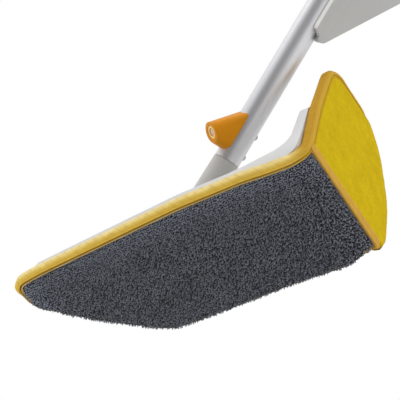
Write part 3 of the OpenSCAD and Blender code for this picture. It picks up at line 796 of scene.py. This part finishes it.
# The stitches run on the binding's lip along the flat part. Their path is counted from the heel, so
# that it is one run without a jump.
lip_path = loop - normals * 2.2
lip_depth = 0.25 + HIDDEN_DROP * far_side + 0.5 * pucker
from_heel = -np.argmax(loop[:, 0])
on_flat = np.roll(loop[:, 0], from_heel) < 6
lip_path = np.roll(lip_path, from_heel, axis=0)[on_flat]
lip_depth = np.roll(lip_depth, from_heel)[on_flat]
head_piece(stitches("edge_stitches", lip_path, lip_depth), "binding", thread_finish)
seam_line = seam_path + (6.2, 0)
head_piece(stitches("seam_stitches", seam_line, -0.2 + seam_wave), "binding", thread_finish)

# ---- floor, light and camera ----
FLOOR_Z = -1.75
HEAD_Z = -1.27  # height of the middle of the head
CAMERA_AT = Vector((1.0127, -0.6446, -1.2986))
CAMERA_AZIMUTH, CAMERA_ELEVATION, CAMERA_ROLL = (math.radians(a) for a in (147.64, 4.56, 30.9))
CAMERA_LENS = 117.7
FLAG_EDGE = 0.62  # cosine of how far round the dark side reaches
FLAG_SQUAT = 0.9  # how much lower than wide it is


def add_floor():
    bpy.ops.mesh.primitive_circle_add(vertices=96, radius=1.5, fill_type="NGON", location=(0, 0, FLOOR_Z))
    floor = bpy.context.object
    floor.name = "studio_floor"
    finish = Finish("studio_floor", (0.86, 0.86, 0.86), 0.8)
    finish.mottle(6, 0.02)
    finish.on(floor)


def add_light(name, azimuth, elevation, distance, size, power, mirrored=True):
    """A soft area light that looks at the head of the mop."""
    target = Vector((0, 0, HEAD_Z))
    a, e = math.radians(azimuth), math.radians(elevation)
    way = Vector((math.cos(e) * math.cos(a), math.cos(e) * math.sin(a), math.sin(e)))
    lamp = bpy.data.lights.new(name, "AREA")
    lamp.shape = "RECTANGLE"
    lamp.size, lamp.size_y = size
    lamp.energy = power
    light = bpy.data.objects.new(name, lamp)
    light.location = target + way * distance
    light.rotation_euler = way.to_track_quat("Z", "Y").to_euler()
    light.visible_glossy = mirrored
    bpy.context.scene.collection.objects.link(light)


def add_world(fill, flag_azimuth, flag_depth):
    """A white backdrop that lights the object as a soft grey surround, with a dark side near the horizon."""
    world = bpy.data.worlds.new("studio")
    bpy.context.scene.world = world
    world.use_nodes = True
    tree = world.node_tree
    surround = tree.nodes["Background"]
    surround.inputs["Color"].default_value = (fill, fill, fill * 1.01, 1)
    flag = tree.nodes.new("ShaderNodeVectorMath")
    flag.operation = "DOT_PRODUCT"
    flag.inputs[1].default_value = (math.cos(flag_azimuth), math.sin(flag_azimuth), 0)
    way = tree.nodes.new("ShaderNodeTexCoord").outputs["Generated"]
    squat = tree.nodes.new("ShaderNodeMapping")
    squat.inputs["Scale"].default_value = (1, 1, FLAG_SQUAT)
    round_way = tree.nodes.new("ShaderNodeVectorMath")
    round_way.operation = "NORMALIZE"
    tree.links.new(way, squat.inputs["Vector"])
    tree.links.new(squat.outputs["Vector"], round_way.inputs[0])
    tree.links.new(round_way.outputs["Vector"], flag.inputs[0])
    shade = tree.nodes.new("ShaderNodeMapRange")
    shade.interpolation_type = "SMOOTHSTEP"
    span = {"From Min": FLAG_EDGE, "From Max": 1.0, "To Min": 1.0, "To Max": 1.0 - flag_depth}
    for socket, value in span.items():
        shade.inputs[socket].default_value = value
    tree.links.new(flag.outputs["Value"], shade.inputs["Value"])
    tree.links.new(shade.outputs["Result"], surround.inputs["Strength"])
    backdrop = tree.nodes.new("ShaderNodeBackground")
    backdrop.inputs["Color"].default_value = (1, 1, 1, 1)
    seen = tree.nodes.new("ShaderNodeLightPath").outputs["Is Camera Ray"]
    mix = tree.nodes.new("ShaderNodeMixShader")
    tree.links.new(seen, mix.inputs[0])
    tree.links.new(surround.outputs[0], mix.inputs[1])
    tree.links.new(backdrop.outputs[0], mix.inputs[2])
    tree.links.new(mix.outputs[0], tree.nodes["World Output"].inputs["Surface"])


def add_camera():
    a, e = CAMERA_AZIMUTH, CAMERA_ELEVATION
    look = Vector((math.cos(e) * math.cos(a), math.cos(e) * math.sin(a), math.sin(e)))
    right = look.cross(Vector((0, 0, 1))).normalized()
    up = right.cross(look)
    c, s = math.cos(CAMERA_ROLL), math.sin(CAMERA_ROLL)
    axes = Matrix((right * c + up * s, up * c - right * s, -look)).transposed()
    camera = bpy.data.objects.new("camera", bpy.data.cameras.new("camera"))
    camera.data.lens = CAMERA_LENS
    camera.matrix_world = Matrix.Translation(CAMERA_AT) @ axes.to_4x4()
    bpy.context.scene.collection.objects.link(camera)
    bpy.context.scene.camera = camera


add_floor()
add_light("key_top", 20, 62, 2.2, (1.8, 1.8), 14)
add_light("key_left", -140, 42, 2.2, (1.4, 1.4), 10)
add_light("side_left", -178, 6, 2.4, (1.0, 2.4), 2)
add_light("front_left", -112, 8, 2.2, (1.2, 2.0), 11, mirrored=False)
add_world(0.82, math.radians(-56), 0.95)
add_camera()
bpy.context.scene.view_settings.view_transform = "Standard"
